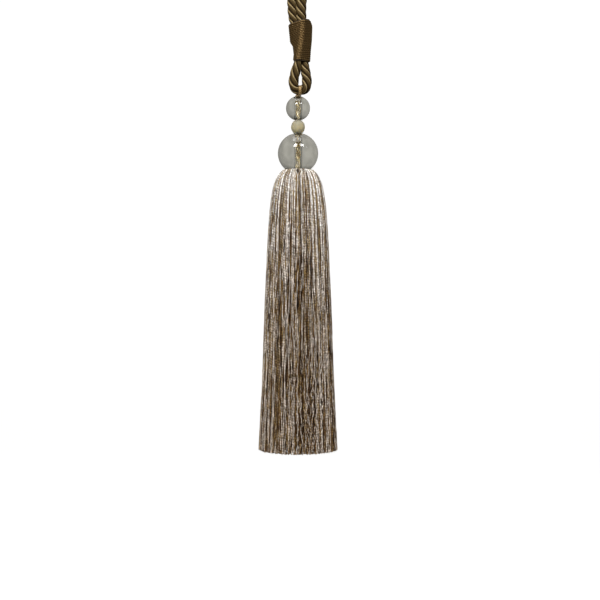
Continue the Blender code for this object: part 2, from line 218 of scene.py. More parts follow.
# Skirt: outline of its surface from under the ball to the cut edge: radius, z
SKIRT_OUTLINE = [
    (7.6, -163.4),
    (9.2, -162.6),
    (10.8, -161.7),
    (12.8, -162.9),
    (14.9, -165.1),
    (16.8, -168.4),
    (18.2, -171.6),
    (19.2, -175.5),
    (20.1, -180.5),
    (21.2, -188.0),
    (22.2, -199.0),
    (23.1, -213.0),
    (24.3, -238.0),
    (25.7, -270.0),
    (27.0, -310.0),
    (28.6, -345.0),
    (30.0, -371.6),
]
SKIRT_CUT = SKIRT_OUTLINE[-1][1]
SKIRT_SHOULDER = -172.0        # height below which the yarns hang and move more freely
LOOSE_GROWTH = 3.0             # they are fully loose after a third of the way down
DEPTH_GROWTH = 2.0             # layers have their depth at the cut after half of the way down
TIED_SWING = 0.35              # share of the inward waves above the shoulder
# Layers of yarn: name, count, depth below the outline at the top and at the cut, step, seed
SKIRT_LAYERS = [
    ("skirt_yarns_front", 172, 0.0, 0.0, 1.6, 4),
    ("skirt_yarns_between", 172, 0.3, 0.3, 1.6, 8),
    ("skirt_yarns_under", 160, 0.9, 0.9, 1.6, 7),
    ("skirt_yarns_inner", 130, 2.0, 2.2, 3.0, 9),
    ("skirt_yarns_middle", 84, 4.5, 5.2, 6.0, 11),
    ("skirt_yarns_core", 76, 8.0, 10.5, 6.0, 13),
    ("skirt_yarns_heart", 56, 11.0, 17.0, 6.0, 17),
]
LAYER_TURN = 0.37              # angle by which a layer is turned for each unit of its seed
# Tones of neighbouring yarns, from dark brown at 0 to silver white at 1
YARN_TONES = [0.04, 0.18, 0.28, 0.40, 0.56, 0.72, 0.88, 1.04]
TONE_STRAY = 0.05
YARN_SIDES = 4
YARN_RADII = (0.27, 0.46)      # thinnest and thickest
YARN_ROOT_SHARE = 0.78         # thickness at the root, as a share of the full thickness
YARN_ROOT_LENGTH = 20.0
YARN_BEDDING = 0.25            # how far under the outline the thickest side of a yarn lies
YARN_SPACING_STRAY = 0.32      # how far a yarn strays from its even place, in spacings
YARN_DOT_STEP = 1.90           # length of one ply's crossing on the twisted yarns
YARN_PATTERN_STRAY = 400.0     # length within which each yarn's colours start somewhere
YARN_LEAN = 0.35               # how far the crest that the painted flank shade leaves bright is turned up
CUT_STRAY = 0.9                # unevenness of the cut edge
# Waves of a yarn: shortest and longest wavelength, reach
INWARD_WAVES = [(50.0, 130.0, 0.60), (20.0, 40.0, 0.30)]
SIDEWAYS_WAVES = [(120.0, 220.0, 1.5), (40.0, 90.0, 0.95), (14.0, 30.0, 0.28)]
CURL_WAVES = [(9.0, 17.0, 0.75), (5.5, 9.0, 0.22)]
SWELLING_WAVES = [(6.0, 14.0, 1.0)]
SWELLING = 0.10                # how much a yarn's thickness varies
# Curls all round: height at which they start, height that they take to grow, share
CURLS_ALL_ROUND = (-230.0, 80.0, 0.25)
# Stronger curls low down at the skirt's right front: height at the start, height to grow
CURLS_RIGHT = (-285.0, 50.0)
CURLS_RIGHT_BEARING = -0.95
CURLS_RIGHT_SPREAD = (0.35, 0.5)  # cosine of the angle off that bearing at their edge, and its growth
# Holes between the yarns in front, just under the ball: x, z, half width
SKIRT_HOLES = [(0.0, -163.8, 1.5), (3.7, -163.4, 0.9)]
HOLES_RADIUS = 13.5            # radius of the skirt at the holes
HOLE_HEIGHT = 1.2              # how far above and beside a hole the yarns part, in half widths
HOLE_REACH = 2.0
# Least radii at which a sideways distance is turned into an angle
SWAY_LEAST_RADIUS = 10.0
CURL_LEAST_RADIUS = 6.0
HOLE_LEAST_RADIUS = 8.0
# Painted light on the skirt by height: foot and height of the slow fade, foot and height of the rise
# over which the painted flank shade weakens toward the top
SKIRT_PAINTED_LIGHT = (-372.0, 202.0)
FLANK_SHADE_FADE = (-270.0, 100.0)

# Bound heading under the yarns
HEAD_CLEARANCE = 1.3           # from the large ball to the dish
HEAD_DISH_RADIUS = 10.6
HEAD_BORE_BOTTOM = -176.0
# Outline from the dish's rim to the underside: radius, z
HEAD_OUTLINE = [
    (12.0, -164.6),
    (13.8, -166.6),
    (15.2, -169.6),
    (16.2, -173.0),
    (16.6, -177.0),
    (15.0, -179.0),
    (6.0, -179.0),
]
HEAD_SIDES = 96

BRONZE_SHINE = (1.0, 0.86, 0.62, 1.0)

# Stage, in metres: floor's height, half width, distance to the curve, its radius, wall's height
STAGE_LEVEL = -0.62
STAGE_REACH = 3.0
STAGE_BACK = 1.6
STAGE_CURVE = 0.6
STAGE_HEIGHT = 2.2
STAGE_ROWS = 12

# Colours of the grey room round the object: share of the height from floor to zenith, colour
ROOM_COLOURS = [
    (0.00, (0.50, 0.49, 0.465)),
    (0.35, (0.45, 0.445, 0.42)),
    (0.62, (0.44, 0.435, 0.41)),
    (0.78, (0.38, 0.375, 0.355)),
    (0.90, (0.13, 0.135, 0.125)),
    (1.00, (0.06, 0.065, 0.06)),
]
# Dim sides of the room: direction, nearness at which it starts and is full, brightness there
ROOM_SIDES = [
    ((0.80, -0.60, 0.0), -0.1, 0.9, 0.30),
    ((-0.94, -0.34, 0.0), 0.45, 1.0, 0.55),
]
# Lights: name, bearing and rise in degrees, distance and size in metres, power
LIGHTS = [
    ("front_left", -17.0, 40.0, 0.75, 0.26, 3.6),
    ("front_right", 27.0, 40.0, 0.75, 0.24, 2.6),
    ("right", 53.0, 26.0, 1.0, 0.16, 0.15),
    ("above", -20.0, 78.0, 0.75, 0.50, 2.4),
]
LIGHTS_AIM = (0.0, 0.0, -0.16)


# Shapes

def ease(share):
    """A smooth step from 0 to 1 as share goes from 0 to 1."""
    share = np.clip(share, 0.0, 1.0)
    return share * share * (3.0 - 2.0 * share)


def facings(count):
    """Even angles round a ring."""
    return TURN * np.arange(count) / count


def shade_smooth(mesh, sharp_angle=None):
    """Smooth shading, with edges sharper than the angle, in degrees, kept sharp."""
    mesh.shade_smooth()
    if sharp_angle is not None:
        mesh.set_sharp_from_angle(angle=math.radians(sharp_angle))


def add_piece(name, mesh, material, replaces=()):
    """Links a mesh as a piece of the object, riding on its one body."""
    piece = bpy.data.objects.new(name, mesh)
    bpy.context.collection.objects.link(piece)
    mesh.materials.append(material)
    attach(piece, "root")
    if replaces:
        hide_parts(*replaces)
    return piece


def distances(points):
    """Distance travelled to each point of a path."""
    return np.concatenate([[0.0], np.cumsum(np.linalg.norm(np.diff(points, axis=0), axis=1))])


def smooth_rows(rows, step):
    """Rows at equal steps along a natural cubic curve through the given rows of x, y, z, ..."""
    rows = np.array(rows, dtype=float)
    knots = distances(rows[:, :3])
    chords = np.diff(knots)
    count = len(knots)
    system = np.eye(count)
    target = np.zeros_like(rows)
    for i in range(1, count - 1):
        before, after = chords[i - 1], chords[i]
        system[i, i - 1:i + 2] = (before, 2 * (before + after), after)
        target[i] = 6 * ((rows[i + 1] - rows[i]) / after - (rows[i] - rows[i - 1]) / before)
    bends = np.linalg.solve(system, target)
    at = np.linspace(0.0, knots[-1], SAMPLES_PER_ROW * count)
    span = np.clip(np.searchsorted(knots, at, side="right") - 1, 0, count - 2)
    width = chords[span][:, None]
    ahead = (at[:, None] - knots[span][:, None]) / width
    behind = 1.0 - ahead
    curve = behind * rows[span] + ahead * rows[span + 1]
    bend = (behind ** 3 - behind) * bends[span] + (ahead ** 3 - ahead) * bends[span + 1]
    curve += bend * width ** 2 / 6
    travelled = distances(curve[:, :3])
    even = np.linspace(0.0, travelled[-1], int(round(travelled[-1] / step)) + 1)
    return np.stack([np.interp(even, travelled, column) for column in curve.T], axis=1), even


def frames_along(points, reference):
    """Normals nearest to the reference directions, and sides, along paths of shape (..., n, 3)."""
    tangents = np.gradient(points, axis=-2)
    tangents /= np.linalg.norm(tangents, axis=-1, keepdims=True)
    normals = reference - tangents * np.sum(tangents * reference, axis=-1, keepdims=True)
    normals /= np.linalg.norm(normals, axis=-1, keepdims=True)
    return normals, np.cross(tangents, normals)


def rings_round(path, normals, sides, reach, flattening=1.0):
    """A ring of points round each point of a path, at a reach that may differ from side to side."""
    facing = facings(reach.shape[-1])
    out = normals[..., None, :] * (flattening * np.cos(facing))[:, None]
    across = sides[..., None, :] * np.sin(facing)[:, None]
    return path[..., None, :] + (out + across) * reach[..., None]


def tubes_mesh(name, rings, lengths, tone=None):
    """One mesh of capped tubes.  rings is (tubes, rows, sides, 3) in millimetres.

    The UV map holds the turn round the tube and the length along it in metres, and the attribute
    tone holds a number for each tube, or for each of its vertices, such as the rope's painted
    highlight less its painted shade.
    """
    tubes, rows, sides, _ = rings.shape
    index = np.arange(tubes * rows * sides).reshape(tubes, rows, sides)
    after = np.roll(index, -1, axis=2)
    quads = np.stack([index[:, :-1], after[:, :-1], after[:, 1:], index[:, 1:]], axis=-1).reshape(-1, 4)
    caps = [ring[::-1].tolist() for ring in index[:, 0]] + [ring.tolist() for ring in index[:, -1]]
    mesh = bpy.data.meshes.new(name)
    mesh.from_pydata((rings.reshape(-1, 3) * MM).tolist(), [], quads.tolist() + caps)
    turn = np.arange(sides) / sides
    corner_turn = np.stack([turn, turn + 1 / sides, turn + 1 / sides, turn], axis=-1)
    corner_turn = np.broadcast_to(corner_turn, (tubes, rows - 1, sides, 4))
    along = np.broadcast_to(lengths, (tubes, rows))
    low, high = along[:, :-1, None], along[:, 1:, None]
    corner_along = np.stack([low, low, high, high], axis=-1)
    corner_along = np.broadcast_to(corner_along, (tubes, rows - 1, sides, 4)) * MM
    corners = np.stack([corner_turn, corner_along], axis=-1).reshape(-1, 2)
    cap_corners = np.zeros((len(caps) * sides, 2))
    layer = mesh.uv_layers.new(name="UVMap")
    layer.data.foreach_set("uv", np.concatenate([corners, cap_corners]).astype(np.float32).ravel())
    if tone is not None:
        values = mesh.attributes.new("tone", "FLOAT", "POINT")
        if tone.ndim == 1:
            tone = np.broadcast_to(tone[:, None, None], (tubes, rows, sides))
        values.data.foreach_set("value", tone.astype(np.float32).ravel())
    mesh.validate()
    shade_smooth(mesh, 60)
    return mesh


def closed_mesh(name, loops, sharp_angle):
    """A closed skin over loops of points.  loops is (loops, sides, 3) in millimetres.

    The last loop is joined to the first, and edges sharper than the angle, in degrees, stay sharp.
    """
    index = np.arange(loops.shape[0] * loops.shape[1]).reshape(loops.shape[:2])
    below = np.roll(index, -1, axis=0)
    quads = np.stack([index, below, np.roll(below, -1, axis=1), np.roll(index, -1, axis=1)], axis=-1)
    mesh = bpy.data.meshes.new(name)
    mesh.from_pydata((loops.reshape(-1, 3) * MM).tolist(), [], quads.reshape(-1, 4).tolist())
    shade_smooth(mesh, sharp_angle)
    return mesh


def lathe_mesh(name, profile, sides):
    """A closed solid of revolution round Z, from a closed profile of radius, z."""
    radius, height = np.array(profile).T[:, :, None]
    angles = facings(sides)
    x = radius * np.cos(angles)
    y = radius * np.sin(angles)
    z = np.broadcast_to(height, x.shape)
    return closed_mesh(name, np.stack([x, y, z], axis=-1), 35)


# Materials

class Nodes:
    """A small helper that adds nodes to a tree and wires them."""

    def __init__(self, tree):
        self.tree = tree

    def add(self, kind, **settings):
        node = self.tree.nodes.new(kind)
        for key, value in settings.items():
            setattr(node, key, value)
        return node

    def feed(self, socket, value):
        """Sets a socket to a number or a colour, or links it to another node's output."""
        if isinstance(value, (int, float)):
            socket.default_value = value
        elif isinstance(value, tuple):
            socket.default_value = (*value, 1.0)
        else:
            self.tree.links.new(value, socket)

    def math(self, operation, *values):
        node = self.add("ShaderNodeMath", operation=operation)
        for socket, value in zip(node.inputs, values):
            self.feed(socket, value)
        return node.outputs[0]

    def share(self, value, start, width):
        """How far a value lies from the start, in widths."""
        return self.math("DIVIDE", self.math("SUBTRACT", value, start), width)

    def map_range(self, value, start, end, first, last):
        node = self.add("ShaderNodeMapRange")
        for socket, number in zip(node.inputs, (value, start, end, first, last)):
            self.feed(socket, number)
        return node.outputs["Result"]

    def split(self, vector):
        node = self.add("ShaderNodeSeparateXYZ")
        self.feed(node.inputs[0], vector)
        return node.outputs["X"], node.outputs["Y"], node.outputs["Z"]

    def vector(self, *values):
        node = self.add("ShaderNodeCombineXYZ")
        for socket, value in zip(node.inputs, values):
            self.feed(socket, value)
        return node.outputs[0]

    def noise(self, vector, scale, detail=2.0, roughness=0.5):
        node = self.add("ShaderNodeTexNoise")
        self.feed(node.inputs["Vector"], vector)
        self.feed(node.inputs["Scale"], scale)
        self.feed(node.inputs["Detail"], detail)
        self.feed(node.inputs["Roughness"], roughness)
        return node.outputs["Fac"]

    def ramp(self, factor, stops):
        node = self.add("ShaderNodeValToRGB")
        elements = node.color_ramp.elements
        while len(elements) < len(stops):
            elements.new(0.5)
        for element, (place, colour) in zip(elements, stops):
            element.position = place
            element.color = (*colour, 1.0)
        self.feed(node.inputs["Fac"], factor)
        return node.outputs["Color"]

    def mix(self, factor, first, second, blend="MIX"):
        node = self.add("ShaderNodeMix", data_type="RGBA", blend_type=blend)
        for slot, value in ((0, factor), (6, first), (7, second)):
            self.feed(node.inputs[slot], value)
        return node.outputs[2]


class Surface(Nodes):
    """The nodes of one material, with its shader."""

    def __init__(self, name):
        self.material = bpy.data.materials.new(name)
        self.material.use_nodes = True
        super().__init__(self.material.node_tree)
        self.shader = self.tree.nodes["Principled BSDF"]

    def uv(self):
        """The turn round a tube and the length along it."""
        turn, length, _ = self.split(self.add("ShaderNodeUVMap").outputs["UV"])
        return turn, length

    def place(self):
        return self.add("ShaderNodeTexCoord").outputs["Object"]

    def height(self):
        return self.split(self.place())[2]

    def tone(self):
        return self.add("ShaderNodeAttribute", attribute_name="tone").outputs["Fac"]

    def wave(self, operation, turns):
        """Sine or cosine of a number of turns."""
        return self.math(operation, self.math("MULTIPLY", turns, TURN))

    def flank(self, turn):
        """0 along a tube's outer crest, 1 along its inner side."""
        return self.math("MULTIPLY_ADD", self.wave("COSINE", turn), -0.5, 0.5)

    def bump(self, height, distance, strength):
        node = self.add("ShaderNodeBump")
        node.inputs["Strength"].default_value = strength
        node.inputs["Distance"].default_value = distance
        self.feed(node.inputs["Height"], height)
        return node.outputs["Normal"]

    def finish(self, colour, roughness, normal=None, **constants):
        """Wires the shader.  Other sockets are named with _ for a space."""
        self.feed(self.shader.inputs["Base Color"], colour)
        self.shader.inputs["Roughness"].default_value = roughness
        if normal is not None:
            self.feed(self.shader.inputs["Normal"], normal)
        for key, value in constants.items():
            self.shader.inputs[key.replace("_", " ")].default_value = value
        return self.material


def filaments(nodes, lay, across, along):
    """Noise drawn out into fine filaments that wind round a tube with the given lay in metres."""
    turn, length = nodes.uv()
    wound = nodes.math("ADD", turn, nodes.math("DIVIDE", length, lay))
    around = nodes.vector(
        nodes.wave("COSINE", wound),
        nodes.wave("SINE", wound),
        nodes.math("MULTIPLY", length, along),
    )
    return nodes.noise(around, across, 3.0, 0.6), wound


def rope_material():
    """Satin yarns with a painted highlight beside each strand's upper groove, and painted shade toward
    the lower one and down into the grooves.
    """
    nodes = Surface("rope_satin")
    fine, _ = filaments(nodes, -YARN_LAY * MM, 5.0, 40.0)
    turn, _ = nodes.uv()
    body = nodes.ramp(fine, [
        (0.25, (0.038, 0.023, 0.007)),
        (0.50, (0.062, 0.039, 0.013)),
        (0.75, (0.098, 0.065, 0.026)),
    ])
    # Colour of the painted highlight along each strand's lip
    crest = nodes.ramp(fine, [(0.25, (0.300, 0.215, 0.098)), (0.75, (0.500, 0.390, 0.205))])
    tone = nodes.tone()
    colour = nodes.mix(nodes.math("MAXIMUM", tone, 0.0), body, crest)
    # Near-black painted shade on each strand's lower side
    shade = nodes.math("MAXIMUM", nodes.math("MULTIPLY", tone, -1.0), 0.0)
    colour = nodes.mix(shade, colour, (0.014, 0.007, 0.003))
    # Painted shade in the grooves, darkest on the strand's inner side
    painted_flank_shade = nodes.ramp(nodes.flank(turn), [
        (0.27, (1.0, 1.0, 1.0)),
        (0.35, (0.32, 0.27, 0.21)),
        (0.50, (0.10, 0.07, 0.05)),
    ])
    colour = nodes.mix(1.0, colour, painted_flank_shade, "MULTIPLY")
    normal = nodes.bump(fine, 0.00012, 0.7)
    return nodes.finish(colour, 0.50, normal, Specular_IOR_Level=0.12, Specular_Tint=BRONZE_SHINE)


def collar_material():
    """Dark bronze yarn whose two plies show as slanting bands."""
    nodes = Surface("collar_yarn")
    fine, wound = filaments(nodes, -COLLAR_YARN_LAY * MM, 4.0, 300.0)
    ply = nodes.math("ABSOLUTE", nodes.wave("COSINE", wound))
    mixed = nodes.math("MULTIPLY_ADD", ply, 0.35, nodes.math("MULTIPLY", fine, 0.65))
    colour = nodes.ramp(mixed, [
        (0.25, (0.046, 0.025, 0.008)),
        (0.50, (0.092, 0.054, 0.018)),
        (0.75, (0.178, 0.112, 0.046)),
    ])
    normal = nodes.bump(fine, 0.00010, 0.7)
    return nodes.finish(colour, 0.42, normal, Metallic=0.75, Specular_Tint=BRONZE_SHINE)


def gold_material():
    """Gold yarn with a painted highlight on its strands' crests and painted shade in its grooves,
    bronze over the eye, and painted shade where it lies in each hole's mouth.
    """
    nodes = Surface("gold_cord")
    turn, length = nodes.uv()
    along = nodes.math("DIVIDE", length, CORD_STRAND_LAY * MM / CORD_STRANDS)
    wound = nodes.math("SUBTRACT", nodes.math("MULTIPLY", turn, CORD_STRANDS), along)
    # Painted highlight on each strand's crest, painted shade in the grooves between them
    crest = nodes.math("ABSOLUTE", nodes.math("COSINE", nodes.math("MULTIPLY", wound, math.pi)))
    across = nodes.math("MULTIPLY", wound, 3.0)
    fine = nodes.noise(nodes.vector(across, nodes.math("MULTIPLY", length, 900.0), 0.0), 1.0, 3.0)
    height = nodes.height()
    # Painted shade where the cord lies in a hole's mouth
    shade = 0.0
    for top, bottom in CORD_SHADE:
        edges = []
        for inside in (nodes.share(top * MM, height, CORD_SHADE_FADE * MM),
                       nodes.share(height, bottom * MM, CORD_SHADE_FADE * MM)):
            edges.append(nodes.math("MAXIMUM", nodes.math("SMOOTH_MIN", inside, 1.0, 0.2), 0.0))
        shade = nodes.math("MAXIMUM", shade, nodes.math("MULTIPLY", *edges))
    mixed = nodes.math("MULTIPLY_ADD", crest, 0.7, nodes.math("MULTIPLY", fine, 0.45))
    # The lit cord: gold, with its painted highlight and painted groove shade
    light = nodes.ramp(mixed, [
        (0.30, (0.110, 0.048, 0.008)),
        (0.48, (0.380, 0.210, 0.045)),
        (0.66, (0.860, 0.640, 0.260)),
        (0.85, (1.000, 0.950, 0.760)),
    ])
    # A shaded copy of the cord, for its painted shade
    dark = nodes.ramp(mixed, [
        (0.25, (0.040, 0.022, 0.008)),
        (0.60, (0.100, 0.060, 0.023)),
        (0.95, (0.210, 0.135, 0.060)),
    ])
    over_eye = nodes.ramp(nodes.share(height, BRONZE_CORD_FROM * MM, BRONZE_CORD_FADE * MM), [
        (0.2, (1.0, 1.0, 1.0)),
        (0.8, (0.46, 0.35, 0.21)),
    ])
    light = nodes.mix(1.0, light, over_eye, "MULTIPLY")
    colour = nodes.mix(shade, light, dark)
    normal = nodes.bump(fine, 0.00010, 0.6)
    return nodes.finish(colour, 0.34, normal, Metallic=0.15)


def glass_material():
    """Clear glass with a faint grey cloud in it."""
    nodes = Surface("clear_glass")
    cloud = nodes.noise(nodes.place(), 55.0, 2.0)
    colour = nodes.ramp(cloud, [(0.3, (0.80, 0.785, 0.725)), (0.7, (0.86, 0.85, 0.79))])
    return nodes.finish(colour, 0.015, Transmission_Weight=1.0, IOR=1.5)


def bead_material():
    """Cream stone-like plastic that lets light in, with painted light that makes it paler toward its
    shaded underside and darker on top.
    """
    nodes = Surface("cream_bead")
    place = nodes.place()
    cloud = nodes.noise(place, 260.0, 4.0)
    colour = nodes.ramp(cloud, [(0.3, (0.52, 0.46, 0.31)), (0.7, (0.57, 0.51, 0.35))])
    bottom = (BEAD_HEIGHT - BEAD_HALF_HEIGHT) * MM
    # Painted light: paler toward the underside, where shade falls, and darker on top
    painted_light_by_height = nodes.ramp(nodes.share(nodes.height(), bottom, 2 * BEAD_HALF_HEIGHT * MM), [
        (0.1, (1.50, 1.46, 1.35)),
        (0.5, (1.05, 1.05, 1.05)),
        (0.9, (0.74, 0.75, 0.80)),
    ])
    colour = nodes.mix(1.0, colour, painted_light_by_height, "MULTIPLY")
    normal = nodes.bump(nodes.noise(place, 900.0, 2.0), 0.00003, 0.4)
    return nodes.finish(
        colour, 0.70, normal, Transmission_Weight=0.25, IOR=1.3, Specular_IOR_Level=0.15,
        Subsurface_Weight=1.0, Subsurface_Radius=(1.0, 0.9, 0.7), Subsurface_Scale=0.008,
    )


def skirt_material():
    """Yarn of silver and bronze threads, with painted light along its crest, painted shade down its
    flanks and painted light by height.
    """
    nodes = Surface("skirt_yarn")
    turn, length = nodes.uv()
    tone = nodes.tone()
    height = nodes.height()
    flank = nodes.flank(turn)
    slow = nodes.noise(nodes.vector(nodes.math("MULTIPLY", length, 50.0), tone, 0.0), 1.0, 3.0, 0.65)
    across = nodes.math("MULTIPLY", flank, 1.5)
    fine = nodes.noise(nodes.vector(across, nodes.math("MULTIPLY", length, 420.0), tone), 1.0, 2.0, 0.6)
    slant = nodes.math("MULTIPLY", nodes.wave("SINE", turn), 0.2)
    wound = nodes.math("ADD", slant, nodes.math("DIVIDE", length, YARN_DOT_STEP * MM))
    ply = nodes.math("MULTIPLY_ADD", nodes.wave("COSINE", wound), 0.5, 0.5)
    shifted = nodes.math("MULTIPLY_ADD", nodes.math("SUBTRACT", slow, 0.5), 2.0, tone)
    high = nodes.ramp(shifted, [
        (0.05, (0.085, 0.044, 0.014)),
        (0.28, (0.290, 0.175, 0.062)),
        (0.40, (0.560, 0.415, 0.180)),
        (0.52, (0.610, 0.520, 0.400)),
        (0.68, (0.880, 0.850, 0.820)),
        (0.90, (0.990, 0.990, 0.990)),
    ])
    # A darker copy of the same colours: painted shade in the grooves between the twisted plies
    low = nodes.ramp(shifted, [
        (0.05, (0.012, 0.006, 0.002)),
        (0.20, (0.045, 0.019, 0.007)),
        (0.40, (0.070, 0.042, 0.016)),
        (0.52, (0.130, 0.095, 0.060)),
        (0.68, (0.280, 0.240, 0.205)),
        (0.95, (0.560, 0.520, 0.490)),
    ])
    colour = nodes.mix(ply, low, high)
    spread = nodes.ramp(fine, [(0.36, (0.40, 0.36, 0.31)), (0.64, (1.60, 1.58, 1.55))])
    colour = nodes.mix(1.0, colour, spread, "MULTIPLY")
    # Painted shade down each yarn's flanks, weaker toward the top
    painted_flank_shade = nodes.ramp(flank, [
        (0.08, (1.0, 1.0, 1.0)),
        (0.26, (0.46, 0.40, 0.34)),
        (0.44, (0.12, 0.085, 0.055)),
    ])
    foot, rise = FLANK_SHADE_FADE
    upper = nodes.share(height, foot * MM, rise * MM)
    upper = nodes.math("MINIMUM", nodes.math("MAXIMUM", upper, 0.0), 1.0)
    colour = nodes.mix(nodes.math("MULTIPLY_ADD", upper, -0.60, 1.0), colour, painted_flank_shade, "MULTIPLY")
    # Painted light by height, brighter toward the top and toward the cut edge
    foot, rise = SKIRT_PAINTED_LIGHT
    painted_height_light = nodes.ramp(nodes.share(height, foot * MM, rise * MM), [
        (0.0, (1.18, 1.09, 1.01)),
        (0.45, (1.04, 0.98, 0.92)),
        (0.80, (1.07, 1.05, 1.04)),
        (1.0, (1.14, 1.18, 1.22)),
    ])
    colour = nodes.mix(1.0, colour, painted_height_light, "MULTIPLY")
    normal = nodes.bump(nodes.math("MULTIPLY_ADD", fine, 0.8, ply), 0.00018, 0.8)
    return nodes.finish(colour, 0.42, normal, Specular_IOR_Level=0.35)


def lining_material():
    """Dark matt binding, for what lies under the yarns."""
    nodes = Surface("skirt_head")
    fine = nodes.noise(nodes.place(), 700.0, 3.0)
    colour = nodes.ramp(fine, [(0.3, (0.020, 0.012, 0.006)), (0.7, (0.075, 0.048, 0.024))])
    return nodes.finish(colour, 0.8, nodes.bump(fine, 0.0003, 0.6))


# Rope

def make_rope(material):
    """Strands laid round the rope's route, each with a lip beside its upper groove that also carries a
    painted highlight, and painted shade on its lower side.
    """
    route, travelled = smooth_rows(LEFT_LEG + CROWN + FRONT_LEG + EYE + BACK_LEG, ROPE_STEP)
    centres, radius = route[:, :3], route[:, 3:] / 2
    normals, sides = frames_along(centres, np.array([0.0, 1.0, 0.0]))
    climb = np.gradient(centres[:, 2]) / np.linalg.norm(np.gradient(centres, axis=0), axis=1)
    climb = np.clip(climb / FULL_LIP_CLIMB, -1.0, 1.0)[:, None]
    facing = facings(STRAND_SIDES)
    beside = (facing + math.pi) % TURN - math.pi
    # The lip bulges the strand and is also a painted highlight, carried in the attribute tone
    lip = np.abs(climb) * np.exp(-((beside - STRAND_LIP_FACING * climb) / STRAND_LIP_WIDTH) ** 2)
    lower = -beside * np.sign(climb)
    # Painted shade on the strand's lower side, carried in tone as a negative number
    shade = np.abs(climb) * ease((lower - STRAND_SHADE_FACING) / STRAND_SHADE_WIDTH)
    ridges = np.cos(STRAND_YARNS * (facing + TURN * travelled[:, None] / YARN_LAY))
    reach = (1.0 - STRAND_OFFSET) * radius * (1.0 + YARN_RELIEF * (ridges - 1.0) + STRAND_LIP * lip)
    ahead = np.interp(travelled, *np.array(LAY_SHIFT).T)
    strands = []
    for strand in range(ROPE_STRANDS):
        turn = TURN * (strand / ROPE_STRANDS - travelled / ROPE_LAY + ahead)[:, None]
        out = normals * np.cos(turn) + sides * np.sin(turn)
        across = sides * np.cos(turn) - normals * np.sin(turn)
        strands.append(rings_round(centres + out * STRAND_OFFSET * radius, out, across, reach))
    # Painted highlight less painted shade, the same for every strand
    painted_highlight_and_shade = [lip - shade] * ROPE_STRANDS
    mesh = tubes_mesh("rope", np.array(strands), travelled[None, :], np.array(painted_highlight_and_shade))
    rope = add_piece("rope", mesh, material, ["rope_loop"])


# Collar

def run_at(rows, z):
    """Centre and radius of a run of rope at a height, read from its rows of the route."""
    x, y, heights, diameter = np.array(sorted(rows, key=lambda row: row[2])).T
    return np.array([np.interp(z, heights, column) for column in (x, y, diameter / 2)])


def closed_share(past_end, closing):
    """How far the sleeve has drawn in from a run of rope, at a distance past the run's end."""
    start, length, share = closing
    return ease((past_end - start) / length) * share


def collar_circles(z):
    """The three circles that the sleeve is stretched round at a height: x, y, radius."""
    left_end, back_end = LEFT_LEG[0][2], BACK_LEG[-1][2]
    front = run_at(FRONT_LEG, z)
    left = run_at(LEFT_LEG, max(z, left_end))
    left = left + (front - left) * closed_share(left_end - z, LEFT_END_CLOSING)
    back = run_at(BACK_LEG, min(z, back_end))
    back = back + (front - back) * closed_share(z - back_end, BACK_END_CLOSING)
    return np.array([left, front, back])


def collar_point(level, tilt, angle, offset):
    """A point of the sleeve's surface, at a level on the tilted ring and an angle round it."""
    _, front, back = collar_circles(level)
    middle = (front + back)[:2] / 2
    facing = facings(HULL_FACINGS)
    normals = np.stack([np.cos(facing), np.sin(facing)], axis=1)
    ray = np.array([math.cos(angle), math.sin(angle)])
    ahead = normals @ ray
    z = level
    for _ in range(2):
        circles = collar_circles(z)
        support = np.max((circles[:, :2] - middle) @ normals.T + circles[:, 2:] + offset, axis=0)
        reach = np.min(np.where(ahead > 0.0, support / np.maximum(ahead, 1e-6), np.inf))
        x, y = middle + ray * reach
        z = level + tilt * (x - middle[0])
    return np.array([x, y, z])


def wrap_tilt(share):
    """Slope of the wraps at a share of the collar's height, from the top."""
    ends = TOP_TILT * (1.0 - share)
    return ends + (WRAP_TILT - ends) * math.sin(math.pi * share) ** 1.5


def make_winding(material):
    """The collar's yarn, wound from the top down."""
    height = COLLAR_TOP - COLLAR_BOTTOM
    pitch = height / COLLAR_WRAPS - WRAP_SQUEEZE
    half = COLLAR_YARN_RADIUS * COLLAR_YARN_FLATTENING
    winding = []
    for step in range((COLLAR_WRAPS - 1) * STEPS_PER_WRAP + 1):
        wraps = step / STEPS_PER_WRAP
        level = COLLAR_TOP - half - pitch * wraps
        tilt = wrap_tilt((COLLAR_TOP - level) / height)
        winding.append(collar_point(level, tilt, COLLAR_START + TURN * wraps, COLLAR_YARN_OFFSET))
    path = np.array(winding)
    lengths = distances(path)
    even = np.arange(0.0, lengths[-1], COLLAR_STEP)
    path = np.stack([np.interp(even, lengths, column) for column in path.T], axis=1)
    normals, sides = frames_along(path, np.array([0.0, 0.0, 1.0]))
    twist = TURN * even[:, None] / COLLAR_YARN_LAY
    plies = 1.0 + COLLAR_PLY_RELIEF * np.cos(2 * (facings(COLLAR_YARN_SIDES) + twist))
    from_end = np.minimum(even, even[-1] - even)
    taper = np.sqrt(np.clip(from_end / COLLAR_YARN_TAPER, 0.02, 1.0))
    reach = COLLAR_YARN_RADIUS * plies * taper[:, None]
    rings = rings_round(path, normals, sides, reach, COLLAR_YARN_FLATTENING)
    mesh = tubes_mesh("collar_winding", rings[None], even[None])
    add_piece("collar_winding", mesh, material, ["collar"])


